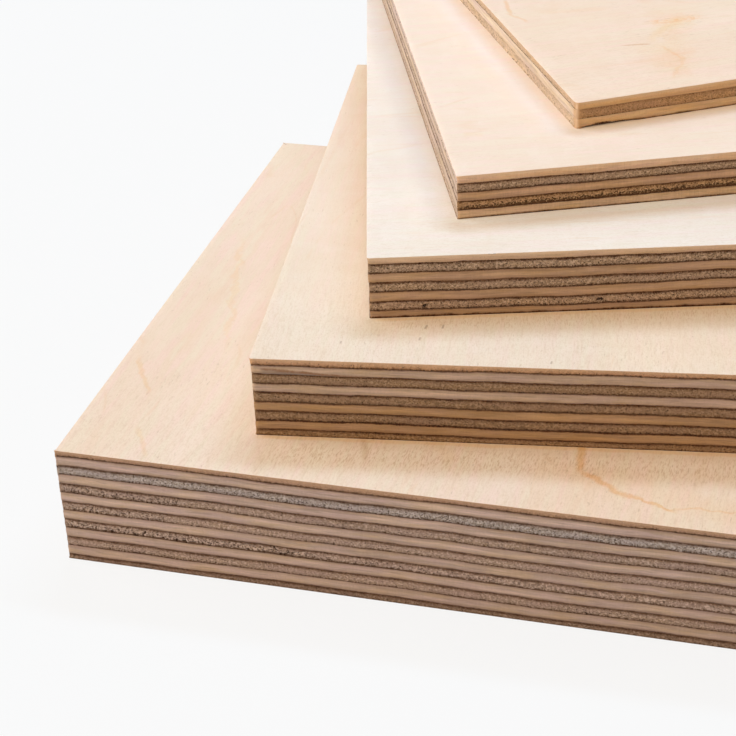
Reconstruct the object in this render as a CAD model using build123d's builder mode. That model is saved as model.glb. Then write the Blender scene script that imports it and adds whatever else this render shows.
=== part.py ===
"""A stack of five square plywood samples, fanned round their front left corners, in millimetres.

The origin is the centre of the bottom sheet's underside. X runs to the right along that sheet's
front edge, Y runs back and Z up. Every sheet is a lay-up of veneers, one solid each.
"""
import os

from build123d import *

# All sheets are sawn to one square
sheet_side = 100.0
corner_radius = 0.25  # upright corners, just dulled by the sander
top_corner_radius = 0.7  # those of the top sheet are worn rounder
arris = 0.15  # sanded off all round the face and the back of each sheet

# Thickness of each sheet as sanded, from the bottom of the stack up
bottom_thickness = 17.7
second_thickness = 11.9
middle_thickness = 9.2
fourth_thickness = 6.5
top_thickness = 4.0

# Veneers in each sheet, an odd number so that face and back have the same grain direction
bottom_plies = 13
second_plies = 9
middle_plies = 7
fourth_plies = 5
top_plies = 3

# The back and face veneers lose some thickness to the sander. The inner ones share the rest
bottom_back_veneer = 0.9
bottom_face_veneer = 0.85
second_back_veneer = 1.0
second_face_veneer = 0.85
middle_back_veneer = 1.15
middle_face_veneer = 1.0
fourth_back_veneer = 1.45
fourth_face_veneer = 1.2
top_back_veneer = 1.5
top_face_veneer = 1.1

# From the front left corner of a sheet to that of the sheet lying on it:
# to the right along the lower sheet's front edge, and back from that edge
second_shift_right = 25.4
second_shift_back = 9.3
middle_shift_right = 14.4
middle_shift_back = 11.5
fourth_shift_right = 12.4
fourth_shift_back = 10.4
top_shift_right = 18.8
top_shift_back = 11.7

# Turn of each sheet against the one under it, in degrees, anticlockwise seen from above
second_turn_angle = 7.9
middle_turn_angle = 7.9
fourth_turn_angle = 6.6
top_turn_angle = 8.6


def make_veneer(name, underside, thickness, radius, eased_side=None):
    """One veneer on the plane underside, with its front left corner at the plane's origin.

    eased_side is 0 where the arris of its underside is sanded off and -1 where that of its top is.
    """
    with BuildPart() as veneer:
        with BuildSketch(underside):
            RectangleRounded(sheet_side, sheet_side, radius, align=(Align.MIN, Align.MIN))
        extrude(amount=thickness)
        if eased_side is not None:
            chamfer(veneer.faces().sort_by(Axis.Z)[eased_side].edges(), arris)
    veneer.part.label = name
    export_step(veneer.part, f"parts/{name}.step")


def make_sheet(sheet_name, corner, thickness, plies, back_veneer, face_veneer, radius=corner_radius):
    """The lay-up of one sheet, from its back veneer to its face, with its underside at corner."""
    inner_veneer = (thickness - back_veneer - face_veneer) / (plies - 2)
    underside = Plane(corner)
    make_veneer(f"{sheet_name}_back_veneer", underside, back_veneer, radius, eased_side=0)
    underside = underside.offset(back_veneer)
    for number in range(2, plies):
        kind = "crossband" if number % 2 == 0 else "core"
        make_veneer(f"{sheet_name}_{kind}_{number:02d}", underside, inner_veneer, radius)
        underside = underside.offset(inner_veneer)
    make_veneer(f"{sheet_name}_face_veneer", underside, face_veneer, radius, eased_side=-1)


os.makedirs("parts", exist_ok=True)

# The bottom sheet lies on the floor, with its middle over the origin
bottom_corner = Location((-sheet_side / 2, -sheet_side / 2, 0))
make_sheet(
    "bottom_sheet",
    bottom_corner,
    bottom_thickness,
    bottom_plies,
    bottom_back_veneer,
    bottom_face_veneer,
)

# Each of the others lies on the one before it
second_step = Location((second_shift_right, second_shift_back, bottom_thickness), (0, 0, second_turn_angle))
second_corner = bottom_corner * second_step
make_sheet(
    "second_sheet",
    second_corner,
    second_thickness,
    second_plies,
    second_back_veneer,
    second_face_veneer,
)

middle_step = Location((middle_shift_right, middle_shift_back, second_thickness), (0, 0, middle_turn_angle))
middle_corner = second_corner * middle_step
make_sheet(
    "middle_sheet",
    middle_corner,
    middle_thickness,
    middle_plies,
    middle_back_veneer,
    middle_face_veneer,
)

fourth_step = Location((fourth_shift_right, fourth_shift_back, middle_thickness), (0, 0, fourth_turn_angle))
fourth_corner = middle_corner * fourth_step
make_sheet(
    "fourth_sheet",
    fourth_corner,
    fourth_thickness,
    fourth_plies,
    fourth_back_veneer,
    fourth_face_veneer,
)

top_step = Location((top_shift_right, top_shift_back, fourth_thickness), (0, 0, top_turn_angle))
top_corner = fourth_corner * top_step
make_sheet(
    "top_sheet",
    top_corner,
    top_thickness,
    top_plies,
    top_back_veneer,
    top_face_veneer,
    top_corner_radius,
)
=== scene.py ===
import math
import random

import bmesh
import bpy
import numpy as np
from mathutils import Matrix, Vector


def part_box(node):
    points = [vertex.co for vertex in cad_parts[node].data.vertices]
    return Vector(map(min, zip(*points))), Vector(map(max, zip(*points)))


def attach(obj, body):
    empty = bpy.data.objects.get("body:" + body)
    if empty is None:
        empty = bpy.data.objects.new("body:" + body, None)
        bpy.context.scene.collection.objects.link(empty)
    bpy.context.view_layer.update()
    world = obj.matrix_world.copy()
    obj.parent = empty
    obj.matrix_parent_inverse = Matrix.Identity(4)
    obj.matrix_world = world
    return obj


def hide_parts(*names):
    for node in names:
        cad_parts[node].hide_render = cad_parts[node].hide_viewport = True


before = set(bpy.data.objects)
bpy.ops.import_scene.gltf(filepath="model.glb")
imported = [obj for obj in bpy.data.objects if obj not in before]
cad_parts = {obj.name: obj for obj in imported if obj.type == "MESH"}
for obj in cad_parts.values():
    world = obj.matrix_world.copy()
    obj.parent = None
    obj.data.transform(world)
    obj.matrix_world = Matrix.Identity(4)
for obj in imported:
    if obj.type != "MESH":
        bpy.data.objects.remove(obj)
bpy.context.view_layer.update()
mm = 0.001
print("frame loaded:", len(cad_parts), "veneers")


# small helpers

def pickOnly(piece):
    bpy.ops.object.select_all(action="DESELECT")
    piece.select_set(True)
    bpy.context.view_layer.objects.active = piece


def selectParts(piece, kind, wanted):
    # in edit mode: kind is "verts", "edges" or "faces", wanted says yes or no to each of them
    bpy.ops.mesh.select_mode(type={"verts": "VERT", "edges": "EDGE", "faces": "FACE"}[kind])
    bpy.ops.mesh.select_all(action="DESELECT")
    shape = bmesh.from_edit_mesh(piece.data)
    for part in getattr(shape, kind):
        if wanted(part):
            part.select_set(True)
    bmesh.update_edit_mesh(piece.data)


def applyPlace(piece):
    pickOnly(piece)
    bpy.ops.object.transform_apply(location=True, rotation=True, scale=True)


def addDisplace(piece, group, direction, strength, texture=None, midLevel=0.0):
    pickOnly(piece)
    bpy.ops.object.modifier_add(type="DISPLACE")
    push = piece.modifiers[-1]
    push.direction = direction
    push.strength = strength
    push.mid_level = midLevel
    push.vertex_group = group
    if texture:
        push.texture = texture
        push.texture_coords = "LOCAL"
    bpy.ops.object.modifier_apply(modifier=push.name)


def cloudTexture(name, size, depth):
    cloud = bpy.data.textures.new(name, type="CLOUDS")
    cloud.noise_scale = size
    cloud.noise_depth = depth
    cloud.use_clamp = True
    return cloud


# camera, at the photograph's viewing angle

cameraView = {
    "place": (59.644 * mm, -259.147 * mm, 165.742 * mm),
    "heading": 17.288,  # degrees to the left of straight back
    "down": 30.674,
    "roll": -2.867,
    "lens": 100.84,
    "shift": (0.0005, 0.0006),  # of the sensor
}


def makeCamera(view):
    data = bpy.data.cameras.new("sampleCamera")
    data.sensor_width = 36
    data.lens = view["lens"]
    data.shift_x, data.shift_y = view["shift"]
    data.clip_start = 0.01
    data.clip_end = 20
    camera = bpy.data.objects.new("sampleCamera", data)
    bpy.context.scene.collection.objects.link(camera)
    camera.matrix_world = (
        Matrix.Translation(view["place"])
        @ Matrix.Rotation(math.radians(view["heading"]), 4, "Z")
        @ Matrix.Rotation(math.radians(90 - view["down"]), 4, "X")
        @ Matrix.Rotation(math.radians(view["roll"]), 4, "Z")
    )
    bpy.context.scene.camera = camera


makeCamera(cameraView)
bpy.context.scene.view_settings.view_transform = "Standard"
print("camera placed")


# node helpers

def put(tree, kind, inputs=None, **settings):
    made = tree.nodes.new(kind)
    for name, value in settings.items():
        setattr(made, name, value)
    for socket, value in (inputs or {}).items():
        if isinstance(value, bpy.types.NodeSocket):
            tree.links.new(value, made.inputs[socket])
        else:
            made.inputs[socket].default_value = value
    return made


def maths(tree, operation, first, second=0.0, third=None, clamp=False):
    inputs = {0: first, 1: second}
    if third is not None:
        inputs[2] = third
    return put(tree, "ShaderNodeMath", inputs, operation=operation, use_clamp=clamp).outputs[0]


def times(tree, first, second):
    return maths(tree, "MULTIPLY", first, second)


def spread(tree, value, low, high, toLow=0.0, toHigh=1.0, smooth=True):
    kind = "SMOOTHSTEP" if smooth else "LINEAR"
    inputs = {"Value": value, "From Min": low, "From Max": high, "To Min": toLow, "To Max": toHigh}
    return put(tree, "ShaderNodeMapRange", inputs, interpolation_type=kind).outputs[0]


def stretched(tree, place, scale, shift=(0.0, 0.0, 0.0), turn=0.0):
    inputs = {"Vector": place, "Location": shift, "Scale": scale, "Rotation": (0.0, 0.0, turn)}
    return put(tree, "ShaderNodeMapping", inputs).outputs[0]


def pattern(tree, place, scale, shift=(0, 0), turn=0.0, detail=2.0, roughness=0.5, distortion=0.0):
    # noise drawn out in one direction, and shifted so that no two of them look alike
    drawnOut = stretched(tree, place, (*scale, 1), (*shift, 0), turn)
    inputs = {"Vector": drawnOut, "Scale": 1.0, "Detail": detail, "Roughness": roughness,
              "Distortion": distortion}
    return put(tree, "ShaderNodeTexNoise", inputs).outputs["Fac"]


def patterns(tree, place, table):
    return {name: pattern(tree, place, **values) for name, values in table.items()}


def blend(tree, amount, first, second, way="MIX"):
    mixed = put(tree, "ShaderNodeMix", {"Factor": amount}, data_type="RGBA", blend_type=way)
    for socket, value in ((mixed.inputs[6], first), (mixed.inputs[7], second)):
        if isinstance(value, bpy.types.NodeSocket):
            tree.links.new(value, socket)
        else:
            socket.default_value = (*value[:3], 1.0)
    return mixed.outputs[2]


def tinge(tree, colour, other, value, low, high, share=1.0):
    # the other colour shows more as the value goes from low to high, up to its share
    return blend(tree, spread(tree, value, low, high, 0.0, share), colour, other)


def seenDirectly(tree):
    # 1 for what the camera sees, also in a mirror or through glass
    path = put(tree, "ShaderNodeLightPath").outputs
    seen = maths(tree, "ADD", path["Is Camera Ray"], path["Is Glossy Ray"])
    return maths(tree, "ADD", seen, path["Is Transmission Ray"], clamp=True)


def linear(red, green, blue):
    # a colour as seen on screen, 0 to 255, turned into the shader's numbers
    parts = (c / 255 for c in (red, green, blue))
    return tuple(c / 12.92 if c <= 0.04045 else ((c + 0.055) / 1.055) ** 2.4 for c in parts)


def scaled(colour, factor):
    return tuple(min(0.98, c * factor) for c in colour)


def tinted(colour, tint):
    return tuple(c * t for c, t in zip(colour, tint))


def newMaterial(name):
    material = bpy.data.materials.new(name)
    material.use_nodes = True
    material.node_tree.nodes.clear()
    return material, material.node_tree


def finishMaterial(tree, colour, roughness, height, distance, strength, specular):
    # distance and strength belong to the bump
    bump = put(tree, "ShaderNodeBump", {"Height": height, "Distance": distance, "Strength": strength})
    inputs = {"Base Color": colour, "Roughness": roughness, "Normal": bump.outputs[0],
              "Specular IOR Level": specular}
    shader = put(tree, "ShaderNodeBsdfPrincipled", inputs)
    put(tree, "ShaderNodeOutputMaterial", {"Surface": shader.outputs[0]})


# sanded faces of rotary-cut birch

seedSteps = {"face": 3.7, "along": 31.7, "edge": 5.3}  # how far a piece's patterns lie from the last one's

# scales are per millimetre, across and along the grain
facePatterns = {
    "blotch": {"scale": (0.09, 0.03), "distortion": 0.4},
    "drift": {"scale": (0.34, 0.03), "shift": (7, 3), "detail": 3.0, "roughness": 0.55, "distortion": 0.15},
    "hue": {"scale": (0.6, 0.07), "shift": (13, 2), "roughness": 0.6, "distortion": 0.2},
    "curl": {"scale": (0.16, 0.3), "shift": (4, 1), "turn": 0.5, "roughness": 0.55, "distortion": 0.5},
    "fibre": {"scale": (2.6, 0.3), "detail": 3.0, "roughness": 0.72, "distortion": 0.15},
    "fineFibre": {"scale": (5.5, 1.0), "shift": (3, 9), "roughness": 0.7},
    "grit": {"scale": (4.0, 2.6), "shift": (8, 2), "detail": 1.0, "roughness": 0.6},
    "log": {"scale": (0.055, 0.014), "shift": (11, 5), "detail": 2.5, "distortion": 0.6},
    "ringPlaces": {"scale": (0.2, 0.09), "shift": (2, 8), "detail": 3.0},
    "dashes": {"scale": (4.2, 0.9), "shift": (1, 6), "detail": 1.0},
    "porePlaces": {"scale": (0.3, 0.12), "shift": (5, 5)},
}
markWobble = {"scale": (0.22, 0.22), "shift": (9, 4), "detail": 4.0, "roughness": 0.65}

# how the face's colour changes in each of them
faceTints = {
    "pale": (1.02, 1.03, 1.04),
    "deep": (0.97, 0.96, 0.94),
    "drift": (0.97, 0.92, 0.85),
    "cool": (0.98, 1.01, 0.975),
    "pink": (1.01, 0.96, 0.985),
    "curlPale": (1.03, 1.06, 1.1),
    "curlDeep": (0.97, 0.93, 0.87),
    "fibreDeep": (0.8, 0.73, 0.64),
    "fibrePale": (1.07, 1.1, 1.14),
    "ring": (0.93, 0.82, 0.68),
    "pore": (0.45, 0.36, 0.27),
}

# shade, pattern, the values where it starts and where it is full, and its share
faceLayers = (
    ("drift", "drift", 0.35, 0.75, "driftShare"),
    ("cool", "hue", 0.5, 0.66, "hueShare"),
    ("pink", "hue", 0.5, 0.34, "hueShare"),
    ("curlPale", "curl", 0.5, 0.7, "curlShare"),
    ("curlDeep", "curl", 0.5, 0.3, "curlShare"),
)
fibreLayers = (("fibre", 0.48, 0.78, 1.0), ("fineFibre", 0.5, 0.76, 0.9), ("grit", 0.5, 0.74, 0.6))


def mark(start, stop, width, wander, share, tint, fade=0.2, lines=0.0, fibres=False):
    # a faint line or patch from start to stop, in millimetres right and back on the sheet. Its tint
    # multiplies the wood's colour, fade is the share of its length over which it ends, lines gives it
    # contour lines, and fibres keeps it to the dark fibres
    return {"start": start, "stop": stop, "width": width, "wander": wander, "share": share, "tint": tint,
            "fade": fade, "lines": lines, "fibres": fibres}


def markShare(tree, flat, values, wobble):
    # how much of a mark shows at each place of the face
    first, last = Vector((*values["start"], 0)), Vector((*values["stop"], 0))
    reach = (last - first).length
    turn = math.atan2(last.y - first.y, last.x - first.x)
    moved = Matrix.Rotation(-turn, 3, "Z") @ first
    laid = stretched(tree, flat, (1, 1, 1), (-moved.x, -moved.y, 0), -turn)
    along, beside, _ = put(tree, "ShaderNodeSeparateXYZ", {0: laid}).outputs
    wander = spread(tree, wobble, 0.25, 0.75, -values["wander"], values["wander"], smooth=False)
    away = maths(tree, "ABSOLUTE", maths(tree, "ADD", beside, wander))
    body = spread(tree, away, values["width"] * 0.15, values["width"], values["share"], 0.0)
    if values["lines"]:
        bands = maths(tree, "PINGPONG", times(tree, wobble, values["lines"]), 0.5)
        body = times(tree, body, spread(tree, bands, 0.02, 0.28, 1.0, 0.35))
    fade = values["fade"] * reach
    ends = times(tree, spread(tree, along, -fade * 0.3, fade),
                 spread(tree, along, reach + fade * 0.3, reach - fade))
    return times(tree, body, ends)


def makeFaceMaterial(name, look, corner, turn, seed, marks):
    material, tree = newMaterial(name)
    # object coordinates turned into millimetres to the right and back from the sheet's front left corner
    objectPlace = put(tree, "ShaderNodeTexCoord").outputs["Object"]
    start = Matrix.Rotation(-turn, 3, "Z") @ Vector((corner[0] / mm, corner[1] / mm, 0.0))
    flat = stretched(tree, objectPlace, (1 / mm, 1 / mm, 0.0), (-start.x, -start.y, seed), -turn)
    right, back, _ = put(tree, "ShaderNodeSeparateXYZ", {0: flat}).outputs
    across, along = (right, back) if look["grain"] == "deep" else (back, right)
    grain = put(tree, "ShaderNodeCombineXYZ", {0: across, 1: along, 2: seed * seedSteps["face"]}).outputs[0]
    seen = patterns(tree, grain, facePatterns)
    wood = {name: tinted(look["face"], tint) for name, tint in faceTints.items()}

    # growth rings of a peeled log show as a few faint contour lines
    contour = maths(tree, "PINGPONG", times(tree, seen["log"], look["rings"]), 0.5)
    ring = spread(tree, contour, 0.0, 0.07, 1.0, 0.0)
    ring = times(tree, ring, spread(tree, seen["ringPlaces"], 0.5, 0.64))

    # pores: a few short fine dashes along the grain, in loose drifts
    more = spread(tree, seen["porePlaces"], 0.35, 0.7, -0.06, 0.04, smooth=False)
    pore = maths(tree, "ADD", seen["dashes"], more)
    pore = spread(tree, pore, look["poreStart"], look["poreStart"] + 0.05)

    # painted light and shade: the fibres are painted in stronger contrast near the front edge, where the low
    # light picks them out
    near = spread(tree, back, *look["nearBand"], look["nearFibre"], look["farFibre"])

    colour = blend(tree, spread(tree, seen["blotch"], 0.25, 0.75), wood["pale"], wood["deep"])
    for shade, kind, low, high, share in faceLayers:
        colour = tinge(tree, colour, wood[shade], seen[kind], low, high, look[share])
    for kind, low, high, share in fibreLayers:
        strength = look["fibreShare"] * share
        darker = times(tree, spread(tree, seen[kind], low, high, 0.0, strength), near)
        paler = times(tree, spread(tree, seen[kind], 1 - low, 1 - high, 0.0, strength * 0.5), near)
        colour = blend(tree, darker, colour, wood["fibreDeep"])
        colour = blend(tree, paler, colour, wood["fibrePale"])
    colour = blend(tree, times(tree, ring, look["ringShare"]), colour, wood["ring"])
    colour = blend(tree, times(tree, pore, look["poreShare"]), colour, wood["pore"])
    wobble = pattern(tree, flat, **markWobble)
    for values in marks:
        share = markShare(tree, flat, values, wobble)
        if values["fibres"]:
            share = times(tree, share, spread(tree, seen["fineFibre"], 0.47, 0.66))
        colour = blend(tree, share, colour, values["tint"], "MULTIPLY")

    height = maths(tree, "ADD", times(tree, seen["fibre"], 0.5), times(tree, seen["fineFibre"], 0.3))
    height = maths(tree, "ADD", height, times(tree, seen["grit"], 0.25))
    height = maths(tree, "SUBTRACT", height, times(tree, pore, 0.8))
    roughness = spread(tree, seen["fibre"], 0.2, 0.8, *look["faceRoughness"], smooth=False)
    finishMaterial(tree, colour, roughness, height, look["faceBump"], 0.6, look["faceGloss"])
    return material


# sawn edges, painted along the map that runs round each veneer: millimetres along, share of the ply up

mapStep = 130.0  # millimetres along the map from the start of one wall to the start of the next

edgePatterns = {
    "wander": {"scale": (0.06, 0.25)},
    "warmth": {"scale": (0.16, 0.9), "shift": (4, 6), "roughness": 0.55},
    "ragged": {"scale": (4.6, 4.0), "shift": (1, 2), "roughness": 0.7},
    "wobble": {"scale": (0.3, 0.0), "shift": (0, 4), "detail": 4.0, "roughness": 0.65},
    "broken": {"scale": (0.7, 0.0), "shift": (5, 1), "detail": 4.0, "roughness": 0.7},
}
endPatterns = {
    "dust": {"scale": (7.0, 7.5), "shift": (9, 5), "detail": 1.0, "roughness": 0.6},
    "ribs": {"scale": (3.0, 0.55), "shift": (2, 7), "turn": 0.3, "roughness": 0.6},
    "coarse": {"scale": (0.8, 1.2), "roughness": 0.6},
    "pits": {"scale": (4.2, 5.0), "shift": (3, 3), "detail": 1.0, "roughness": 0.6},
}
longPatterns = {
    "streak": {"scale": (0.09, 1.7), "detail": 3.0, "roughness": 0.6, "distortion": 0.25},
    "coarse": {"scale": (0.35, 4.5), "shift": (6, 2), "detail": 3.0, "roughness": 0.65, "distortion": 0.1},
    "sawn": {"scale": (4.5, 0.4), "shift": (8, 3), "turn": 0.06, "detail": 1.0},
}
longLayers = (
    ("dark", "streak", 0.5, 0.72, "streaks", 1.0),
    ("light", "streak", 0.5, 0.28, "streaks", 1.0),
    ("dark", "coarse", 0.52, 0.74, "streaks", 1.0),
    ("light", "coarse", 0.48, 0.3, "streaks", 0.6),
    ("dark", "sawn", 0.5, 0.7, "sawn", 1.0),
    ("light", "sawn", 0.5, 0.3, "sawn", 1.0),
)
edgeTints = {
    "burnt": (0.56, 0.42, 0.32),
    "cool": (0.99, 0.97, 1.1),
    "warm": (1.02, 0.98, 0.82),
    "bright": (1.5, 1.62, 1.8),
    "fleck": (1.7, 1.85, 2.05),
    "underCrack": (0.55, 0.56, 0.62),
    "cornerHighlight": (1.6, 1.6, 1.5),
}


def wallWoods(look, ply, kind, onSide):
    # the wood's colour on this wall, which may be another on the left and right, paler there partly for the
    # wood and partly as painted light from the left, and its shades
    woods = look["woods"]
    if onSide and kind + "Side" in woods:
        wood = woods[ply.get("side", kind + "Side")]
    else:
        wood = woods[ply.get(kind, kind)]
    if onSide:
        wood = tuple(min(0.9, c * tone) for c, tone in zip(wood, look["sideTone"]))
    wood = scaled(wood, ply.get("tone", 1.0))
    shades = {name: tinted(wood, tint) for name, tint in edgeTints.items()}
    light, dark = scaled(wood, look["lightStep"]), scaled(wood, look["darkStep"])
    return {"plain": wood, "light": light, "dark": dark, **shades}


def paintEndGrain(tree, wall, wood, look, ply, colour):
    # specks and ribs of the sawn fibres. Gives the colour, the relief and the coarse pattern
    speckle = look["speckle"] * ply.get("speck", 1.0) * (look["sideSpeck"] if wall["onSide"] else 1.0)
    seen = patterns(tree, wall["place"], endPatterns)
    grains = pattern(tree, wall["place"], (look["specks"], look["specks"] * 1.15), roughness=0.7)
    colour = tinge(tree, colour, wood["dark"], seen["coarse"], 0.42, 0.7, 0.4)
    colour = tinge(tree, colour, wood["dark"], seen["ribs"], 0.5, 0.72, ply.get("ribs", look["ribs"]))
    colour = tinge(tree, colour, wood["light"], seen["ribs"], 0.48, 0.3, look["ribs"] * 0.6)
    colour = blend(tree, spread(tree, wall["down"], 0.0, 0.8, look["topShade"], 0.0), colour, wood["burnt"])
    patchy = spread(tree, wall["warmth"], 0.36, 0.6, 0.5, 1.0)
    pale = times(tree, spread(tree, grains, 0.51, 0.63, 0.0, speckle), patchy)
    deep = times(tree, spread(tree, grains, 0.49, 0.37, 0.0, speckle), patchy)
    colour = blend(tree, deep, blend(tree, pale, colour, wood["bright"]), wood["dark"])
    colour = tinge(tree, colour, wood["bright"], seen["dust"], 0.52, 0.66, 0.3)

    # small pits in rows along the underside, painted dark for the shade inside them, with pale torn fibres
    # between them
    low = spread(tree, wall["up"], 0.05, look["pitBand"], look["lowPits"] * ply.get("low", 1.0), 0.0)
    bias = maths(tree, "MULTIPLY_ADD", wall["torn"], 0.1, low)
    pitted = spread(tree, maths(tree, "ADD", seen["pits"], bias), 0.63, 0.72)
    flecks = spread(tree, maths(tree, "MULTIPLY_ADD", wall["torn"], 0.1, wall["ragged"]), 0.56, 0.66)
    fleckShare = maths(tree, "MULTIPLY_ADD", wall["torn"], 0.45, look["flecks"], clamp=True)
    colour = blend(tree, times(tree, flecks, fleckShare), colour, wood["fleck"])
    colour = blend(tree, times(tree, pitted, look["pitShare"]), colour, look["pitShade"])
    relief = maths(tree, "ADD", times(tree, grains, 0.7), times(tree, seen["ribs"], 0.3))
    return colour, maths(tree, "SUBTRACT", relief, pitted), seen["coarse"]


def paintLongGrain(tree, wall, wood, look, colour):
    # streaks of the fibres cut along their length, and fine marks of the saw across them
    seen = patterns(tree, wall["place"], longPatterns)
    for shade, kind, low, high, share, part in longLayers:
        colour = tinge(tree, colour, wood[shade], seen[kind], low, high, look[share] * part)
    colour = tinge(tree, colour, wood["dark"], wall["ragged"], 0.5, 0.75, 0.25)
    relief = maths(tree, "ADD", times(tree, seen["streak"], 0.4), times(tree, seen["coarse"], 0.6))
    return colour, relief, seen["coarse"]


def paintGlueAndContactShade(tree, wall, wood, look, ply, endGrain, colour, height):
    # glue soaks into both plies beside each joint, unevenly. On a back veneer the lower line is no joint but
    # a painted contact shadow where the sheet rests
    ragged = wall["ragged"]
    glueAndContactShadeColour = blend(tree, spread(tree, ragged, 0.4, 0.62), look["glue"], look["glueWarm"])
    upperLine, lowerLine = (look["upperLine"], look["lowerLine"]) if endGrain else [look["thinLine"]] * 2
    upperShare, lowerShare = look["endLines"] if endGrain else look["longLines"]
    rough = look["lineRough"] * (1.0 if endGrain else 0.4)
    shift = spread(tree, ragged, 0.25, 0.75, -rough, rough, smooth=False)
    onWall = look["sideLines"] if wall["onSide"] else 1.0
    jointsAndFoot = ((wall["down"], upperLine, upperShare * ply["upper"] * onWall),
              (wall["up"], ply.get("lowerWidth", lowerLine), lowerShare * ply["lower"] * onWall))
    for distance, width, share in jointsAndFoot:
        if share <= 0:
            continue
        reach = times(tree, spread(tree, wall["wobble"], 0.28, 0.72, 0.45, 1.55, smooth=False), width)
        steps = maths(tree, "DIVIDE", maths(tree, "ADD", distance, shift), reach)
        soak = look["fringe"] * (0.5 + 0.5 * share)
        soaked = spread(tree, distance, 0.05, look["fringeWidth"], soak, 0.0)
        colour = blend(tree, soaked, colour, wood["burnt"])
        full = look["lineShare"] * share
        fade = spread(tree, wall["broken"], 0.35, 0.65, full, full * look["lineBreak"])
        line = times(tree, spread(tree, steps, 0.3, 1.3, 1.0, 0.0), fade)
        colour = blend(tree, line, colour, glueAndContactShadeColour)
        height = maths(tree, "SUBTRACT", height, line)
    return colour, height


def paintCrack(tree, wall, wood, crack, colour):
    # a crack inside the ply: millimetres along from and to, and its height at both ends
    start, stop, first, last = crack
    inside = times(tree, spread(tree, wall["along"], start, start + 1.0),
                   spread(tree, wall["along"], stop, stop - 1.0))
    level = spread(tree, wall["along"], start, stop, first, last)
    level = maths(tree, "ADD", level, spread(tree, wall["wobble"], 0.3, 0.7, -0.06, 0.06, smooth=False))
    away = maths(tree, "SUBTRACT", wall["up"], level)
    under = times(tree, spread(tree, away, 0.05, -0.1, 0.0, 0.7), inside)
    colour = blend(tree, under, colour, wood["underCrack"])
    away = maths(tree, "MULTIPLY_ADD", maths(tree, "SUBTRACT", wall["ragged"], 0.5), 0.5, away)
    line = spread(tree, maths(tree, "ABSOLUTE", away), 0.02, 0.3, 1.0, 0.0)
    line = times(tree, line, spread(tree, wall["broken"], 0.38, 0.55, 0.45, 0.9))
    return blend(tree, times(tree, line, inside), colour, wood["burnt"])


def paintWearAndHighlights(tree, wall, wood, look, ply, colour):
    # the outer rim of the face is paler: partly sanding wear, partly a painted highlight where the arris
    # rounds off
    ragged = wall["ragged"]
    if ply["rim"]:
        reach = spread(tree, ragged, 0.3, 0.7, 0.75, 1.25, smooth=False)
        rim = spread(tree, times(tree, wall["down"], reach), 0.0, look["rimWidth"], ply["rim"], 0.0)
        colour = blend(tree, rim, colour, look["sandedRimHighlight"])

    # painted highlight: the upright corners are painted paler where they round off, unless the sheet gives
    # its own colour there: the front wall and the left one start there on the map
    mapStart = 3 * mapStep if wall["onSide"] else 0.0
    fromCorner = maths(tree, "ABSOLUTE", maths(tree, "SUBTRACT", wall["along"], mapStart))
    corner = times(tree, spread(tree, fromCorner, 0.0, look["cornerWidth"], look["cornerRim"], 0.0),
                   spread(tree, ragged, look["cornerBreakup"], look["cornerBreakup"] + 0.2))
    colour = blend(tree, corner, colour, look.get("cornerColour", wood["cornerHighlight"]))
    # painted highlight: a bright line down the rounded corner
    if look["cornerLine"]:
        bright = spread(tree, fromCorner, 0.2, 0.65, look["cornerLine"], 0.0)
        colour = blend(tree, bright, colour, look["sandedRimHighlight"])
    return colour


def makeEdgeMaterial(name, look, ply, thickness, seed, endGrain, onSide):
    material, tree = newMaterial(name)
    plyHeight = thickness / mm
    edge = put(tree, "ShaderNodeUVMap", uv_map="edgeMap").outputs[0]
    shift = (seed * seedSteps["along"], 0.0, seed * seedSteps["edge"])
    place = stretched(tree, edge, (1.0, plyHeight, 1.0), shift)
    along, share, _ = put(tree, "ShaderNodeSeparateXYZ", {0: edge}).outputs
    up = times(tree, share, plyHeight)
    down = maths(tree, "SUBTRACT", plyHeight, up)
    hollow = put(tree, "ShaderNodeAttribute", attribute_name="hollowShare").outputs["Fac"]
    torn = put(tree, "ShaderNodeAttribute", attribute_name="tornShare").outputs["Fac"]
    wall = {"place": place, "along": along, "up": up, "down": down, "torn": torn, "onSide": onSide,
            **patterns(tree, place, edgePatterns)}
    wood = wallWoods(look, ply, "end" if endGrain else "long", onSide)
    plain = wood["plain"]

    uneven = spread(tree, wall["wander"], 0.3, 0.7)
    colour = blend(tree, uneven, scaled(plain, 0.88), scaled(plain, 1.12))
    if not onSide:
        colour = tinge(tree, colour, scaled(plain, 0.7), along, 5.0, 90.0, look["rightShade"])
    colour = tinge(tree, colour, wood["cool"], wall["warmth"], 0.56, 0.34, look["warmth"])
    colour = tinge(tree, colour, wood["warm"], wall["warmth"], 0.48, 0.7, look["warmth"])
    if endGrain:
        colour, height, coarse = paintEndGrain(tree, wall, wood, look, ply, colour)
    else:
        colour, height, coarse = paintLongGrain(tree, wall, wood, look, colour)
    colour, height = paintGlueAndContactShade(tree, wall, wood, look, ply, endGrain, colour, height)
    if not onSide:
        for crack in ply.get("cracks", ()):
            colour = paintCrack(tree, wall, wood, crack, colour)
    colour = paintWearAndHighlights(tree, wall, wood, look, ply, colour)

    # painted shade: the hollows of torn fibres are painted dark inside, where shade falls
    frayed = maths(tree, "MULTIPLY_ADD", maths(tree, "SUBTRACT", wall["ragged"], 0.5), 2.2, hollow)
    dent = times(tree, spread(tree, frayed, 0.5, 0.85), spread(tree, hollow, 0.15, 0.6))
    colour = blend(tree, times(tree, dent, 0.95), colour, look["pitShade"])
    height = maths(tree, "SUBTRACT", height, dent)
    roughness = spread(tree, coarse, 0.3, 0.7, *look["edgeRoughness"], smooth=False)
    bumpDistance = look["endBump"] if endGrain else look["longBump"]
    finishMaterial(tree, colour, roughness, height, bumpDistance, 0.6, look["edgeGloss"])
    return material


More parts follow.
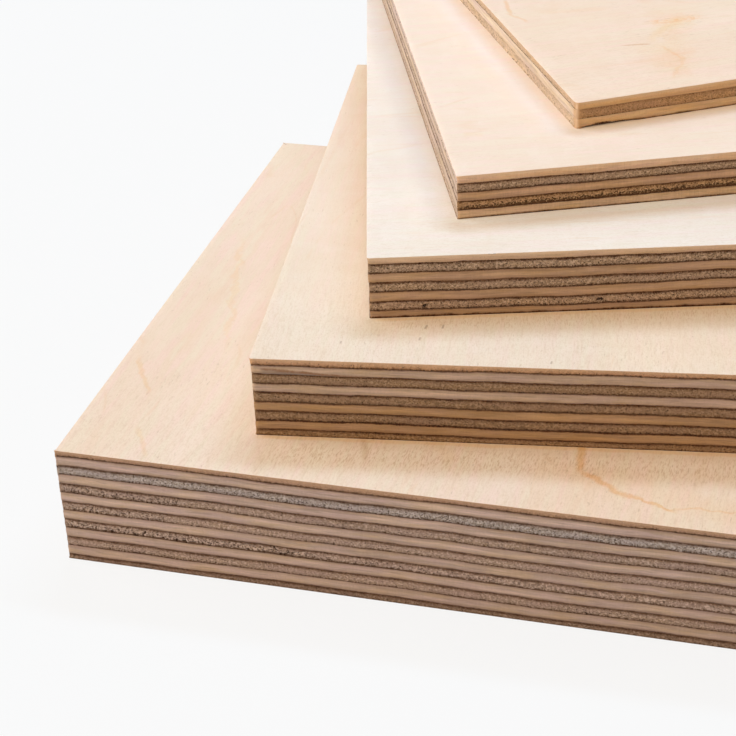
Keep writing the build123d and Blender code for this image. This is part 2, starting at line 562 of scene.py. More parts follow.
def makeGlueMaterial():
    # the spread glue on the faces inside a sheet, seen only in the steps between plies
    material, tree = newMaterial("glueFilm")
    place = put(tree, "ShaderNodeTexCoord").outputs["Object"]
    smear = pattern(tree, stretched(tree, place, (900, 900, 900)), (1, 1), detail=3.0, roughness=0.6)
    colour = blend(tree, spread(tree, smear, 0.3, 0.7), linear(70, 46, 34), linear(112, 80, 58))
    finishMaterial(tree, colour, spread(tree, smear, 0.3, 0.7, 0.5, 0.7), smear, 0.03 * mm, 0.5, 0.3)
    return material


# the veneer's four sawn walls, modelled once and copied for every ply

veneerBlank = {
    "side": 100 * mm,
    "radius": 0.25 * mm,
    "radiusTopSheet": 0.7 * mm,
    "cornerSteps": 3,
    "arris": 0.08 * mm,
    "arrisSteps": 2,
    "height": 1.4 * mm,
    "rows": (0.2, 0.38, 0.58, 0.78),  # cuts across an inner veneer's walls, as shares of its height
    "outerRows": (0.08, 0.28, 0.52, 0.74),
    "wallCuts": 99,  # one subdivision makes no more than a hundred
    "fineCuts": 4,  # and the front with its end grain is divided again
    "faceInset": 0.985,  # a rim is drawn in to this share of the face, so that the arris shades well
    "smoothAngle": 38,
    "frontBias": 1.7,  # a rounded corner's middle goes with the front or the back
}


def makeBlank(name, values, radius, outer):
    side, height = values["side"], values["height"]
    bpy.ops.object.select_all(action="DESELECT")
    bpy.ops.mesh.primitive_cube_add(size=1, location=(side / 2, side / 2, height / 2))
    blank = bpy.context.object
    blank.name = name
    blank.scale = (side, side, height)
    applyPlace(blank)
    bpy.ops.object.mode_set(mode="EDIT")
    reaches = lambda e, axis, least: abs(e.verts[0].co[axis] - e.verts[1].co[axis]) > least
    selectParts(blank, "edges", lambda e: reaches(e, 2, height / 2))
    bpy.ops.mesh.bevel(offset=radius, segments=values["cornerSteps"], affect="EDGES")
    if outer:
        selectParts(blank, "edges", lambda e: min(v.co.z for v in e.verts) > height - mm / 1000)
        bpy.ops.mesh.bevel(offset=values["arris"], segments=values["arrisSteps"], affect="EDGES")
    selectParts(blank, "faces", lambda f: abs(f.normal.z) > 0.99)
    bpy.ops.mesh.delete(type="ONLY_FACE")
    for share in values["outerRows"] if outer else values["rows"]:
        bpy.ops.mesh.select_all(action="SELECT")
        bpy.ops.mesh.bisect(plane_co=(0, 0, share * height), plane_no=(0, 0, 1))
    selectParts(blank, "edges", lambda e: reaches(e, 0, side / 2) or reaches(e, 1, side / 2))
    bpy.ops.mesh.subdivide(number_cuts=values["wallCuts"])
    selectParts(blank, "edges", lambda e: reaches(e, 0, mm / 2) and e.verts[0].co.y < side / 2)
    bpy.ops.mesh.subdivide(number_cuts=values["fineCuts"])
    bpy.ops.mesh.select_all(action="SELECT")
    bpy.ops.mesh.normals_make_consistent(inside=False)
    bpy.ops.object.mode_set(mode="OBJECT")
    return blank


def wallOf(normal):
    # 0 front, 1 right, 2 back, 3 left
    if abs(normal[1]) * veneerBlank["frontBias"] >= abs(normal[0]):
        return 0 if normal[1] < 0 else 2
    return 1 if normal[0] > 0 else 3


def cornerOf(box, radius, side):
    # a rounded square's sharp front left corner and its turn, from the box round it
    low, high = box
    reach = side - 2 * radius
    width = high.x - low.x - 2 * radius
    turn = math.asin(min(1.0, max(0.0, (width / reach) ** 2 - 1))) / 2
    inner = Vector((low.x + radius + reach * math.sin(turn), low.y + radius, 0.0))
    return inner - Matrix.Rotation(turn, 3, "Z") @ Vector((radius, radius, 0.0)), turn


blanks = {}
for label, radius in (("Sheet", veneerBlank["radius"]), ("TopSheet", veneerBlank["radiusTopSheet"])):
    blanks[label, False] = makeBlank("inner" + label, veneerBlank, radius, False)
    blanks[label, True] = makeBlank("outer" + label, veneerBlank, radius, True)
print("blanks modelled:", {key: len(b.data.polygons) for key, b in blanks.items()})

seamWave = cloudTexture("seamWave", 7 * mm, 1)
seamDrift = cloudTexture("seamDrift", 26 * mm, 0)
sawnSkin = cloudTexture("sawnSkin", 0.9 * mm, 1)
grainSkin = cloudTexture("grainSkin", 0.32 * mm, 1)


def setWeights(piece, name, weights):
    group = piece.vertex_groups.new(name=name)
    for index, weight in enumerate(weights):
        if weight > 0.001:
            group.add([index], float(weight), "REPLACE")


def addShare(mesh, name, shares):
    # kept for the materials, which read it on the walls
    mesh.attributes.new(name, "FLOAT", "POINT").data.foreach_set("value", shares.astype(np.float32))


def stretchOf(run, start, stop, fadeIn, fadeOut):
    # 1 from start to stop along a wall, with soft ends
    return np.clip((run - start) / fadeIn + 0.5, 0, 1) * np.clip((stop - run) / fadeOut + 0.5, 0, 1)


def tornWeights(run, up, wall, ply):
    # where the saw has torn the end grain, more in the lower half
    weights = np.zeros(len(run))
    for side, start, stop, strength in ply.get("torn", ()):
        lower = np.clip(1.25 - up * 0.5, 0.3, 1)
        weights = np.maximum(weights, strength * stretchOf(run, start, stop, 2, 4) * (wall == side) * lower)
    return weights


def pitWeights(run, up, wall, look, pits):
    # every pit leans as the lathe checks do, and is as deep as its strength says
    weights = np.zeros(len(run))
    for side, place, level, width, height, strength in pits:
        near = np.flatnonzero((wall == side) & (np.abs(run - place) < width * 1.5 + 0.2))
        above = up[near] - level
        away = np.hypot((run[near] - place - look["checkLean"] * above) / width, above / height)
        weights[near] = np.maximum(weights[near], strength * np.clip(1.6 - away, 0, 1))
    return np.clip(weights, 0, 1.2)


def placePits(look, ply, thickness, endSides, chance):
    # lathe checks lean into the ply from its underside, and torn fibres leave small pits
    plyHeight = thickness / mm
    pits = []
    for side in endSides:
        place = 0.0
        while place < 100:
            place += chance.uniform(*look["checkSteps"])
            level, reach = chance.uniform(0.0, 0.15), chance.uniform(0.15, 0.5) * plyHeight
            pits.append((side, place, level, 0.1, reach, look["checks"] * chance.uniform(0.2, 1.0)))
    for side, start, stop, strength in ply.get("torn", ()):
        for _ in range(int((stop - start) * look["pitsPerMm"])):
            level = chance.betavariate(1.2, 2.8) * plyHeight
            place = chance.uniform(start, stop)
            width, height = chance.uniform(0.06, 0.15), chance.uniform(0.06, 0.14)
            pits.append((side, place, level, width, height, strength * chance.uniform(0.4, 1.2)))
    return pits + list(ply.get("pits", ()))


def standVeneer(node, blank, thickness, kind, endSides):
    # a copy of the blank, as thick as the veneer, with its finer wall where the end grain shows
    side = veneerBlank["side"]
    pickOnly(blank)
    bpy.ops.object.duplicate()
    piece = bpy.context.object
    piece.name = node + ".detailed"
    piece.data.name = piece.name
    stand = Matrix.Scale(thickness / veneerBlank["height"], 4, (0, 0, 1))
    if kind == "back":
        stand = Matrix.Translation((side, 0, thickness)) @ Matrix.Rotation(math.pi, 4, "Y") @ stand
    if endSides == (1, 3):
        middle = Matrix.Translation((side / 2, side / 2, 0))
        stand = middle @ Matrix.Rotation(-math.pi / 2, 4, "Z") @ middle.inverted() @ stand
    piece.data.transform(stand)
    piece.data.update()
    return piece


def mapWalls(mesh, places, share):
    # one map along all four walls, before anything moves
    edgeMap = mesh.uv_layers.new(name="edgeMap")
    corners = np.empty(len(mesh.loops), dtype=np.int32)
    mesh.loops.foreach_get("vertex_index", corners)
    wall = np.zeros(len(mesh.loops), dtype=int)
    for face in mesh.polygons:
        wall[face.loop_start:face.loop_start + face.loop_total] = wallOf(face.normal)
    along = np.where(wall % 2 == 0, places[corners, 0], places[corners, 1]) / mm
    spots = np.stack([along + wall * mapStep, share[corners]], 1)
    edgeMap.data.foreach_set("uv", spots.astype(np.float32).ravel())


def roughenWalls(piece, look, ply, seed, thickness, low, place, kind, endSides):
    # sawn walls: wavy joints, small steps between plies, raised grain, glue grooves, checks and pits
    mesh = piece.data
    places = np.empty(len(mesh.vertices) * 3)
    mesh.vertices.foreach_get("co", places)
    places = places.reshape(-1, 3)
    share = places[:, 2] / thickness
    side = veneerBlank["side"]
    wall = np.stack([places[:, 1], side - places[:, 0], side - places[:, 1], places[:, 0]]).argmin(0)
    run = np.where(wall % 2 == 0, places[:, 0], places[:, 1]) / mm
    up = share * thickness / mm
    mapWalls(mesh, places, share)

    # an outer veneer is held at its face, where the rim of the sheet stays crisp
    joint = {"face": share < 0.5, "back": share > 0.5}.get(kind, True)
    seam = {"face": 1 - share, "back": share}.get(kind, np.ones(len(share)))
    fromRim = seam * thickness / mm
    crisp = np.clip(fromRim / look["crispRim"], 0.15, 1.0)
    chance = random.Random(int(seed * 10))
    hollow = pitWeights(run, up, wall, look, placePits(look, ply, thickness, endSides, chance))
    stepOut = np.array([chance.uniform(0, 1) for _ in range(4)]) * look["stepShares"]
    hollow = hollow * np.clip(fromRim / look["crispRim"], 0.0, 1.0)
    hollow = np.maximum(hollow, pitWeights(run, up, wall, look, ply.get("nicks", ())))

    # the joints sit a little low in the sheet, more in some places
    level = (low - place["low"] + places[:, 2]) / mm
    rise = level * mm / place["height"]
    sinkLow, sinkHigh = look["sink"]
    sink = sinkLow + (sinkHigh - sinkLow) * rise
    for dipWall, dipLevel, start, stop, depth in look["dips"]:
        beside = np.clip(1.3 - np.abs(level - dipLevel), 0, 1)
        sink = sink + depth * stretchOf(run, start, stop, 3, 12) * (wall == dipWall) * beside

    weights = {
        "sink": np.clip(seam * sink, 0, 1),
        "lean": rise * (wall == 3),
        "seam": np.clip(seam, 0, 1),
        "offset": stepOut[wall] * crisp,
        "walls": crisp,
        "ends": np.isin(wall, endSides) * crisp,
        "glue": (np.abs(share - 0.5) > 0.49) * joint * 1.0,
        "hollow": hollow,
    }
    for name, values in weights.items():
        setWeights(piece, name, values)
    mesh.transform(Matrix.Translation((0, 0, low)))
    addDisplace(piece, "sink", "Z", -1.0 * mm)
    if look["lean"]:
        addDisplace(piece, "lean", "X", look["lean"])
    addDisplace(piece, "seam", "Z", look["wave"], seamWave, 0.5)
    addDisplace(piece, "seam", "Z", look["wave"] * 1.2, seamDrift, 0.5)
    addDisplace(piece, "offset", "NORMAL", -look["steps"])
    addDisplace(piece, "walls", "NORMAL", -look["skin"], sawnSkin)
    addDisplace(piece, "ends", "NORMAL", -look["grainDepth"], grainSkin)
    addDisplace(piece, "glue", "NORMAL", -look["grooveDepth"])
    addDisplace(piece, "hollow", "NORMAL", -look["hollowDepth"])
    addShare(mesh, "hollowShare", hollow)
    addShare(mesh, "tornShare", tornWeights(run, up, wall, ply))


def closeVeneer(piece, thickness, low, kind):
    # the top and the underside, on an outer veneer with a narrow rim beside the arris
    middle = veneerBlank["side"] / 2
    inset = veneerBlank["faceInset"]
    pickOnly(piece)
    bpy.ops.object.mode_set(mode="EDIT")
    if kind in ("face", "back"):
        outside = low + (thickness if kind == "face" else 0.0)
        selectParts(piece, "edges", lambda e: e.is_boundary and abs(e.verts[0].co.z - outside) < 0.02 * mm)
        bpy.ops.mesh.extrude_region_move(TRANSFORM_OT_translate={"value": (0, 0, 0)})
        bpy.ops.transform.resize(value=(inset, inset, 0), center_override=(middle, middle, outside))
    bpy.ops.mesh.select_all(action="SELECT")
    bpy.ops.mesh.fill_holes(sides=0)
    bpy.ops.mesh.select_all(action="SELECT")
    bpy.ops.mesh.normals_make_consistent(inside=False)
    bpy.ops.object.mode_set(mode="OBJECT")


def finishVeneer(piece, node, look, ply, seed, thickness, kind, endSides, faceMaterial):
    # end grain on two walls, long grain on the others, the sanded face, and glue on what lies inside
    mesh = piece.data
    mesh.materials.clear()
    # on a back veneer the lower line is a painted contact shadow where the sheet rests, not a glue joint
    ply = {"upper": 0.0 if kind == "face" else 1.0, "lower": 0.6 if kind == "back" else 1.0,
           "rim": look["sandedRimHighlightShare"] if kind == "face" else 0.0, **ply}
    endOnSide = endSides == (1, 3)
    ends = makeEdgeMaterial(node + "_endGrain", look, ply, thickness, seed, True, endOnSide)
    longs = makeEdgeMaterial(node + "_longGrain", look, ply, thickness, seed + 0.5, False, not endOnSide)
    for material in (ends, longs, faceMaterial, glueMaterial):
        mesh.materials.append(material)
    for face in mesh.polygons:
        if abs(face.normal.z) > 0.9:
            outside = (kind == "face" and face.normal.z > 0) or (kind == "back" and face.normal.z < 0)
            face.material_index = 2 if outside else 3
        else:
            face.material_index = 0 if wallOf(face.normal) in endSides else 1


def makeVeneer(node, look, ply, seed, place):
    # kind is back, crossband, core or face
    sheetName, _, kind = node.split("_")[:3]
    low, high = (c.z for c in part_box(node))
    thickness = high - low
    endSides = (0, 2) if (look["grain"] == "deep") != (kind == "crossband") else (1, 3)
    blank = blanks["TopSheet" if sheetName == "top" else "Sheet", kind in ("back", "face")]
    piece = standVeneer(node, blank, thickness, kind, endSides)
    roughenWalls(piece, look, ply, seed, thickness, low, place, kind, endSides)
    closeVeneer(piece, thickness, low, kind)
    faceMaterial = faceMaterials[sheetName, kind == "back"]
    finishVeneer(piece, node, look, ply, seed, thickness, kind, endSides, faceMaterial)
    piece.data.transform(Matrix.Translation(place["corner"]) @ Matrix.Rotation(place["turn"], 4, "Z"))
    pickOnly(piece)
    bpy.ops.object.shade_smooth_by_angle(angle=math.radians(veneerBlank["smoothAngle"]))
    for face in piece.data.polygons:
        if abs(face.normal.z) > 0.9 and len(face.vertices) > 4:
            face.use_smooth = False
    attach(piece, "root")
    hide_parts(node)


# the look of every sheet, unless its own dictionary says otherwise

edgeLook = {
    # colours of the sawn walls
    # the glue's colour, also used for the painted contact shadow under each sheet
    "glue": linear(52, 22, 2),
    "glueWarm": linear(92, 50, 16),
    # painted shade inside pits and torn hollows
    "pitShade": linear(40, 22, 12),
    "sandedRimHighlight": linear(226, 186, 150),
    # the side walls are painted paler and cooler: partly paler wood, partly painted light from the left
    "sideTone": (1.1, 1.2, 1.35),  # the wood on the left and right against that in front and behind
    "lightStep": 1.45,
    "darkStep": 0.58,
    "warmth": 0.8,
    "rightShade": 0.0,  # how much darker the front gets towards its right end
    # end grain
    "speckle": 0.8,
    "sideSpeck": 0.8,  # the speckle on the left and right against that
    "specks": 3.4,  # per millimetre
    "ribs": 0.35,
    "flecks": 0.15,
    "topShade": 0.25,
    "pitBand": 0.45,  # millimetres above the ply's underside
    "lowPits": 0.07,
    "pitShare": 0.85,
    # long grain
    "streaks": 0.55,
    "sawn": 0.06,
    # glue lines, and on a back veneer the painted contact shadow along its underside: widths in millimetres,
    # and how strongly they show along the top and underside of a ply
    "upperLine": 0.24,
    "lowerLine": 0.17,
    "thinLine": 0.11,
    "endLines": (1.0, 0.85),
    "longLines": (0.85, 1.0),
    "lineShare": 1.0,
    "sideLines": 1.0,
    "lineRough": 0.1,
    "lineBreak": 0.6,
    "fringe": 0.4,
    "fringeWidth": 0.6,
    # wear and painted highlights
    "sandedRimHighlightShare": 0.8,
    "rimWidth": 0.75,
    "cornerRim": 0.3,
    "cornerWidth": 0.8,
    "cornerBreakup": 0.35,
    "cornerLine": 0.0,
    # relief
    "wave": 0.3 * mm,
    "sink": (0.06, 0.06),  # how low the joints sit, in millimetres, at the bottom and the top of the sheet
    "dips": (),  # wall, height, from, to, depth, in millimetres
    "lean": 0.0,  # how far the left side leans in at the top
    "steps": 0.08 * mm,
    "stepShares": (0.4, 1.0, 0.4, 1.0),  # of the steps between plies, on the front, right, back and left
    "skin": 0.1 * mm,
    "grainDepth": 0.07 * mm,
    "grooveDepth": 0.035 * mm,
    "hollowDepth": 0.3 * mm,
    "checks": 0.4,
    "checkSteps": (0.3, 0.9),
    "checkLean": 0.35,
    "pitsPerMm": 6.0,
    "crispRim": 0.35,  # millimetres beside a sheet's rim, with less relief
    "endBump": 0.12 * mm,
    "longBump": 0.05 * mm,
    "edgeRoughness": (0.7, 0.85),
    "edgeGloss": 0.2,
}

faceLook = {
    "rings": 7.0,
    "ringShare": 0.3,
    "driftShare": 0.35,
    "curlShare": 0.25,
    "hueShare": 0.7,
    "fibreShare": 0.3,
    "nearFibre": 1.3,
    "farFibre": 0.6,
    "nearBand": (4.0, 35.0),  # mm back from the front edge
    "poreStart": 0.7,
    "poreShare": 0.18,
    "faceBump": 0.05 * mm,
    "faceRoughness": (0.52, 0.66),
    "faceGloss": 0.25,
}

darkFleck = (0.4, 0.32, 0.25)
# painted contact shade, warm, along the foot of the sheet that lies on the face
footShadeTint = (0.95, 0.82, 0.62)  # along the foot of the sheet that lies on the face

# one dictionary per sheet, with its plies from the back veneer up. In a ply, end, long and side name its
# woods, and upper and lower say how strongly its joints show; on the back veneer lower is the painted
# contact shadow along the sheet's underside. Torn stretches give the wall, from, to and strength. Pits and
# nicks give the wall, place, height, half width, half height and strength. All of them are in millimetres
# along the wall and up the ply

sheets = {
    "bottom": {
        "grain": "deep",
        "woods": {
            "long": linear(198, 172, 157),
            "end": linear(177, 150, 133),
            "greyEnd": linear(174, 158, 149),
            "warmEnd": linear(190, 152, 124),
            "darkEnd": linear(150, 124, 106),
        },
        "glue": linear(54, 30, 16),
        "glueWarm": linear(94, 62, 42),
        "sink": (0.06, 0.12),
        "sandedRimHighlight": linear(210, 169, 137),
        "rightShade": 0.4,
        "lean": 0.25 * mm,
        "steps": 0.12 * mm,
        "driftShare": 0.6,
        "nearFibre": 1.25,
        "farFibre": 0.5,
        "speckle": 0.85,
        "pitShade": linear(58, 36, 22),
        "specks": 3.1,
        "ribs": 0.5,
        "topShade": 0.65,
        "upperLine": 0.28,
        "thinLine": 0.16,
        "fringe": 0.56,
        "fibreShare": 0.36,
        "lowPits": 0.13,
        "endLines": (0.95, 0.35),
        "longLines": (0.25, 0.85),
        "sideTone": (1.0, 0.95, 0.88),
        "curlShare": 0.1,
        "hueShare": 1.0,
        "face": linear(245, 225, 208),
        "marks": [
            mark((2.2, 26.0), (7.5, 16.0), 0.5, 0.6, 0.7, (0.98, 0.88, 0.72)),
            mark((4.5, 65.0), (14.2, 30.0), 0.7, 1.2, 0.5, (0.99, 0.9, 0.76)),
            mark((9.0, 8.0), (13.0, 1.0), 0.5, 0.6, 0.5, (0.98, 0.88, 0.72)),
            mark((39.5, 13.0), (41.8, 6.0), 0.8, 0.5, 0.55, (0.8, 0.68, 0.56)),
            mark((68.0, 17.0), (69.8, 9.5), 0.9, 0.6, 0.9, (0.93, 0.74, 0.52)),
            mark((69.6, 10.2), (76.5, 5.2), 0.7, 0.7, 0.9, (0.94, 0.76, 0.56)),
            mark((75.5, 6.0), (83.0, 3.0), 0.5, 0.9, 0.85, (0.95, 0.78, 0.56)),
            mark((81.0, 3.4), (97.0, 6.5), 0.4, 1.0, 0.7, (0.96, 0.83, 0.64)),
            mark((49.0, 13.0), (53.0, 8.0), 1.8, 0.6, 0.4, (0.94, 0.84, 0.7)),
            mark((62.0, 3.0), (106.0, 3.0), 16.0, 1.0, 0.8, (0.99, 0.93, 0.86)),
            mark((3.5, 56.0), (6.0, -6.0), 9.0, 1.0, 0.8, (0.985, 0.96, 0.935)),
            mark((64.0, 10.5), (96.0, 3.0), 4.0, 1.2, 0.35, (0.98, 0.88, 0.76)),
            # painted shade: the band in front of the next sheet's front edge where its shadow falls, dark
            # fibres painted stronger in that shade, and painted contact shade along its foot
            mark((25.0, 8.6), (115.0, 21.0), 2.6, 0.2, 0.95, (0.925, 0.88, 0.835)),
            mark((27.0, 5.4), (115.0, 17.6), 4.6, 0.4, 1.0, (0.86, 0.79, 0.71), fade=0.05, fibres=True),
            mark((25.4, 8.95), (124.4, 22.7), 0.7, 0.3, 0.8, footShadeTint, fade=0.02),
        ],
        "plies": [
            {"end": "darkEnd"},
            {},
            {"torn": [(0, 5, 25, 0.6), (0, 69, 80, 0.55)]},
            {},
            {"low": 2.2, "lower": 1.4, "speck": 1.7, "torn": [(0, 0, 36, 0.95), (0, 30, 62, 0.5)]},
            {},
            {"torn": [(0, 0, 16, 0.85), (0, 40, 52, 0.45)]},
            {},
            {"tone": 0.93, "torn": [(0, 0, 18, 0.75)]},
            {},
            {"end": "greyEnd", "torn": [(0, 8, 100, 0.5)]},
            {"tone": 1.03, "upper": 2.5},
            {"end": "warmEnd", "low": 0.0, "lower": 2.4, "speck": 0.6},
        ],
    },
    "second": {
        "grain": "deep",
        "woods": {
            "long": linear(187, 150, 113),
            "paleLong": linear(196, 168, 146),
            "end": linear(155, 124, 96),
            "lowEnd": linear(161, 127, 93),
            "warmEnd": linear(202, 156, 118),
        },
        "cornerRim": 0.75,
        "thinLine": 0.15,
        "sink": (0.1, 0.06),
        "dips": (
            (0, 11.05, -6.0, 24.0, 0.16),
            (0, 8.2, -6.0, 6.0, 0.1),
            (0, 5.3, -6.0, 6.0, 0.1),
            (0, 2.4, -6.0, 8.0, 0.1),
        ),
        "speckle": 0.8,
        "specks": 2.9,
        "flecks": 0.05,
        "steps": 0.16 * mm,
        "face": linear(245, 229, 213),
        "fibreShare": 0.36,
        "farFibre": 0.4,
        "marks": [
            mark((22.2, 9.2), (22.4, 10.4), 0.22, 0.05, 0.6, darkFleck),
            mark((24.5, 9.4), (24.6, 10.6), 0.22, 0.05, 0.6, darkFleck),
            mark((21.8, 6.1), (21.9, 7.0), 0.2, 0.05, 0.5, darkFleck),
            mark((11.5, 4.6), (11.5, 5.4), 0.2, 0.05, 0.5, darkFleck),
            mark((39.5, 1.1), (39.6, 1.9), 0.2, 0.05, 0.5, darkFleck),
            # painted shade beside the left wall of the sheet above
            mark((3.0, 44.0), (3.0, 101.0), 14.0, 1.0, 0.8, (0.965, 0.94, 0.925), fade=0.3),
            mark((42.0, 6.0), (104.0, 8.0), 12.0, 1.0, 0.8, (1.06, 1.01, 0.95)),
            # painted shade: the band in front of the next sheet's front edge where its shadow falls, dark
            # fibres painted stronger in that shade, and painted contact shade along its foot
            mark((14.4, 10.6), (104.0, 23.0), 2.6, 0.2, 0.9, (0.94, 0.88, 0.8), fade=0.06),
            mark((15.0, 9.5), (104.0, 21.8), 2.4, 0.4, 1.0, (0.91, 0.86, 0.8), fade=0.05, fibres=True),
            mark((14.4, 11.15), (113.5, 24.85), 0.7, 0.3, 0.7, footShadeTint, fade=0.02),
        ],
        "plies": [
            {"end": "lowEnd", "lower": 1.0, "lowerWidth": 0.16},
            {"upper": 1.4},
            {"lower": 1.4},
            {},
            {},
            {"long": "paleLong"},
            {},
            {"long": "paleLong", "cracks": [(1.0, 13.0, 0.85, 0.1), (3.0, 16.0, 0.5, 0.0)]},
            {"end": "warmEnd", "low": 0.0, "speck": 0.6},
        ],
    },
    "middle": {
        "grain": "wide",
        "woods": {
            "long": linear(196, 160, 128),
            "paleLong": linear(218, 183, 150),
            "end": linear(176, 146, 120),
        },
        "speckle": 1.0,
        "specks": 2.9,
        "ribs": 0.45,
        "lineRough": 0.13,
        "flecks": 0.2,
        "upperLine": 0.32,
        "lowPits": 0.1,
        "sink": (0.09, 0.02),
        "steps": 0.12 * mm,
        "sandedRimHighlight": linear(236, 202, 170),
        "face": linear(251, 240, 231),
        "fibreShare": 0.25,
        "farFibre": 0.45,
        "marks": [
            # painted shade beside the left wall of the sheet above, greyer, and cooler where its warm bounce
            # is painted out
            mark((4.0, 105.0), (8.0, 12.0), 9.0, 1.0, 0.8, (0.91, 0.92, 0.94)),
            mark((11.2, 9.0), (1.0, 99.0), 4.0, 0.3, 0.8, (0.93, 0.98, 1.08), fade=0.04),
            # painted light along the foot of the sheet above, lifting its contact shade
            mark((12.5, 9.5), (111.8, 21.0), 1.9, 0.1, 1.0, (1.03, 1.11, 1.2), fade=0.02),
        ],
        "plies": [
            {"tone": 0.97, "lower": 1.3, "lowerWidth": 0.36},
            {"tone": 1.12, "torn": [(0, 0, 60, 0.45)],
             "pits": [(0, 7.5, 0.5, 0.35, 0.25, 1.1), (0, 31.0, 0.55, 0.5, 0.25, 1.1)]},
            {},
            {"torn": [(0, 0, 60, 0.3)]},
            {},
            {"torn": [(0, 0, 60, 0.3)]},
            {"long": "paleLong", "nicks": [(0, 16.0, 0.95, 0.7, 0.16, 0.4)]},
        ],
    },
    "fourth": {
        "grain": "wide",
        "woods": {
            "long": linear(202, 163, 129),
            "paleLong": linear(231, 188, 153),
            "warmLong": linear(227, 190, 154),
            "end": linear(178, 146, 117),
            "brownEnd": linear(184, 143, 102),
            # the side woods are paler and cooler: partly paler wood, partly painted light from the left
            "longSide": linear(204, 175, 148),
            "endSide": linear(193, 162, 134),
            "faceSide": linear(212, 182, 159),
        },
        "wave": 0.2 * mm,
        "sideLines": 0.3,
        "speckle": 0.95,
        "specks": 2.9,
        "ribs": 0.5,
        "pitBand": 0.9,
        "sink": (0.2, 0.04),
        "sandedRimHighlight": linear(238, 198, 162),
        "sandedRimHighlightShare": 0.5,
        "sawn": 0.12,
        "fibreShare": 0.14,
        "face": linear(254, 235, 220),
        "marks": [
            # painted shade beside the left wall of the sheet above, cooler where its warm bounce is painted
            # out
            mark((18.0, 9.5), (4.1, 100.5), 4.5, 0.3, 0.8, (0.93, 0.985, 1.1), fade=0.04),
            # painted light along the foot of the sheet above, lifting its contact shade
            mark((18.9, 10.9), (110.0, 25.0), 1.4, 0.1, 0.8, (1.0, 1.05, 1.09), fade=0.02),
            mark((3.0, 13.5), (6.0, 12.8), 1.0, 0.5, 0.5, (0.99, 0.92, 0.82)),
        ],
        "plies": [
            {"long": "warmLong", "lower": 1.2, "lowerWidth": 0.28},
            {"end": "brownEnd", "low": 3.7, "speck": 0.8, "torn": [(0, 2, 70, 0.6)]},
            {},
            {},
            {"long": "paleLong", "side": "faceSide"},
        ],
    },
    "top": {
        "grain": "wide",
        "woods": {
            "long": linear(231, 184, 134),
            "goldLong": linear(235, 193, 148),
            "end": linear(190, 147, 105),
            # the side woods are paler and cooler: partly paler wood, partly painted light from the left
            "longSide": linear(226, 203, 181),
            "endSide": linear(212, 186, 158),
            "faceSide": linear(208, 178, 145),
        },
        "sideTone": (1.0, 1.0, 1.0),
        "sideLines": 0.0,
        "sideSpeck": 0.45,
        "checks": 0.1,
        "cornerRim": 0.85,
        "cornerWidth": 1.8,
        "cornerBreakup": 0.0,
        # the wood's orange near the corner in place of the painted corner highlight, and a painted highlight
        # line down the corner
        "cornerColour": linear(216, 168, 120),
        "cornerLine": 0.75,
        "pitShade": linear(64, 32, 12),
        "steps": 0.02 * mm,
        "sink": (0.16, 0.0),
        "sandedRimHighlight": linear(240, 206, 172),
        "sandedRimHighlightShare": 0.6,
        "fibreShare": 0.22,
        "wave": 0.14 * mm,
        "face": linear(252, 229, 210),
        "lineShare": 0.2,
        "fringe": 0.22,
        "marks": [
            mark((15.0, 4.0), (27.0, 30.0), 4.5, 3.0, 0.4, (0.99, 0.93, 0.84)),
            mark((16.0, 3.0), (27.0, 30.0), 4.0, 2.0, 0.35, (0.97, 0.86, 0.72), lines=9.0),
            mark((19.0, 15.5), (21.0, 9.5), 0.5, 0.9, 0.6, (0.97, 0.86, 0.7)),
            mark((21.0, 9.8), (15.5, 3.5), 0.5, 0.9, 0.5, (0.97, 0.87, 0.72)),
            mark((21.0, 24.0), (29.5, 24.5), 1.8, 1.6, 0.9, (0.98, 0.82, 0.62), lines=7.0),
            mark((27.0, 26.0), (18.0, 17.0), 1.7, 1.4, 0.6, (0.98, 0.92, 0.77)),
            mark((13.5, 17.6), (18.0, 16.6), 0.35, 0.4, 0.9, (0.84, 0.7, 0.56)),
            mark((17.5, 3.0), (19.0, 14.0), 1.6, 1.6, 0.25, (0.98, 0.87, 0.73)),
            mark((7.0, 34.5), (18.0, 32.5), 1.0, 0.5, 0.3, (1.0, 0.9, 0.78)),
            mark((3.5, 42.0), (2.5, 35.5), 0.5, 0.4, 0.8, (0.95, 0.8, 0.62)),
            mark((1.8, 36.5), (4.0, 31.5), 0.4, 0.6, 0.6, (0.95, 0.8, 0.62)),
        ],
        "plies": [
            {"long": "goldLong", "lower": 4.8, "lowerWidth": 0.28,
             "nicks": [(0, 2.2, 0.05, 0.8, 0.3, 0.9), (0, 4.0, 0.1, 1.5, 0.42, 1.1),
                       (0, 6.8, 0.05, 1.6, 0.28, 1.0)]},
            {"speck": 0.6, "ribs": 0.6},
            {"side": "faceSide"},
        ],
    },
}

faceMaterials = {}
glueMaterial = makeGlueMaterial()
seed = 1.0
for sheetName, sheet in sheets.items():
    look = {**edgeLook, **faceLook, **sheet}
    nodes = [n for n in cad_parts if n.startswith(sheetName + "_sheet")]
    nodes.sort(key=lambda n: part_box(n)[0].z)
    low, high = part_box(nodes[0])[0].z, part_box(nodes[-1])[1].z
    radius = veneerBlank["radiusTopSheet" if sheetName == "top" else "radius"]
    corner, turn = cornerOf(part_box(nodes[1]), radius, veneerBlank["side"])
    place = {"low": low, "height": high - low, "corner": corner, "turn": turn}
    backFace, frontFace = sheetName + "Back", sheetName + "Face"
    faceMaterials[sheetName, True] = makeFaceMaterial(backFace, look, corner, turn, seed + 50, ())
    faceMaterials[sheetName, False] = makeFaceMaterial(frontFace, look, corner, turn, seed, sheet["marks"])
    for node, ply in zip(nodes, sheet["plies"], strict=True):
        makeVeneer(node, look, ply, seed, place)
        seed += 1.0
    print(sheetName, "sheet done:", len(nodes), "veneers, turn", round(math.degrees(turn), 2))

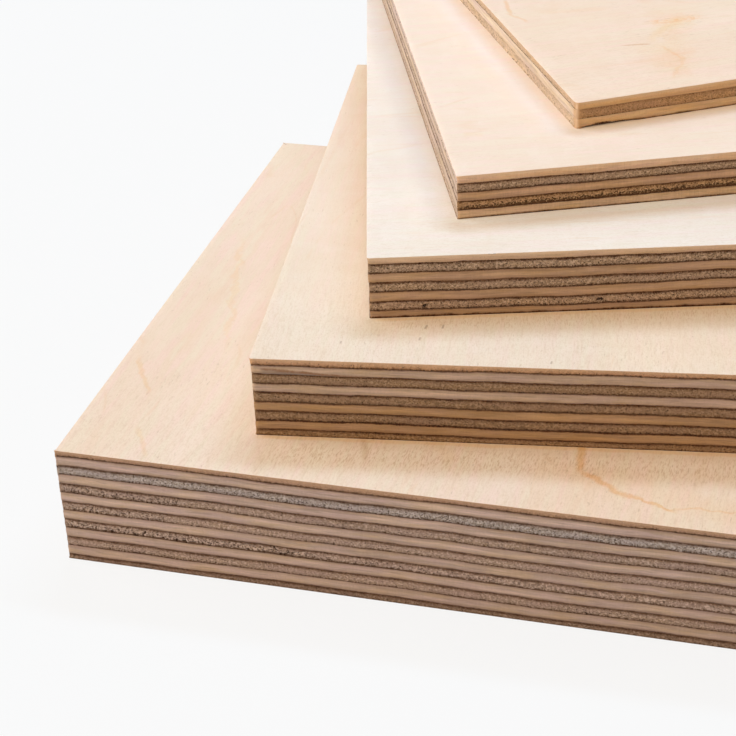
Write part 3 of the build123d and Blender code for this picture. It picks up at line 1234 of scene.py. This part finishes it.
for blank in blanks.values():
    bpy.data.objects.remove(blank, do_unlink=True)


# floor and light

stage = {
    "floor": linear(250, 250, 250),
    "floorSize": 6.0,
    "floorDrop": 0.02 * mm,
    "glow": 0.965,  # how white the camera sees the floor and what is behind it
    "glowTint": (0.988, 0.993, 1.0),
    "shadowShare": 0.15,  # how much of the object's shadow shows in that white
    "world": (1.0, 0.95, 0.9),
    "worldStrength": 0.16,
    "lampTarget": (0.02, 0.02, 0.03),
}

# direction and distance from the target, size, power and colour of each lamp
lamps = {
    "keyStrip": ((0.12, 0.64, 1.0), 1.4, (1.0, 0.13), 8.6, (0.5, 0.73, 1.0)),
    "frontFill": ((-0.2, -0.55, 1.0), 1.3, (1.0, 1.0), 8.8, (1.0, 0.84, 0.6)),
    "leftFill": ((-1.0, -0.1, 0.55), 1.3, (1.0, 1.0), 9.4, (1.0, 0.98, 0.97)),
}


def makeFloor(values):
    bpy.ops.object.select_all(action="DESELECT")
    bpy.ops.mesh.primitive_plane_add(size=values["floorSize"], location=(0, 0, -values["floorDrop"]))
    floor = bpy.context.object
    floor.name = "studioFloor"
    applyPlace(floor)
    material, tree = newMaterial("paleFloor")
    amount = times(tree, seenDirectly(tree), 1 - values["shadowShare"])
    paint = put(tree, "ShaderNodeBsdfDiffuse", {"Color": (*values["floor"], 1)})
    glow = put(tree, "ShaderNodeEmission", {"Color": (*values["glowTint"], 1), "Strength": values["glow"]})
    mixed = put(tree, "ShaderNodeMixShader", {0: amount, 1: paint.outputs[0], 2: glow.outputs[0]})
    put(tree, "ShaderNodeOutputMaterial", {"Surface": mixed.outputs[0]})
    floor.data.materials.append(material)


def makeWorld(values):
    world = bpy.data.worlds.new("studio")
    world.use_nodes = True
    tree = world.node_tree
    tree.nodes.clear()
    backdrop = "ShaderNodeBackground"
    fill = put(tree, backdrop, {"Color": (*values["world"], 1), "Strength": values["worldStrength"]})
    white = put(tree, backdrop, {"Color": (*values["glowTint"], 1), "Strength": values["glow"]})
    mixed = put(tree, "ShaderNodeMixShader", {0: seenDirectly(tree), 1: fill.outputs[0], 2: white.outputs[0]})
    put(tree, "ShaderNodeOutputWorld", {"Surface": mixed.outputs[0]})
    bpy.context.scene.world = world


def addSoftbox(name, target, direction, distance, size, power, colour):
    data = bpy.data.lights.new(name, "AREA")
    data.shape = "RECTANGLE"
    data.size, data.size_y = size
    data.energy = power
    data.color = colour
    lamp = bpy.data.objects.new(name, data)
    bpy.context.scene.collection.objects.link(lamp)
    way = Vector(direction).normalized()
    turn = way.to_track_quat("Z", "Y").to_matrix().to_4x4()
    lamp.matrix_world = Matrix.Translation(Vector(target) + way * distance) @ turn


makeFloor(stage)
makeWorld(stage)
for name, values in lamps.items():
    addSoftbox(name, stage["lampTarget"], *values)
print("studio lit")
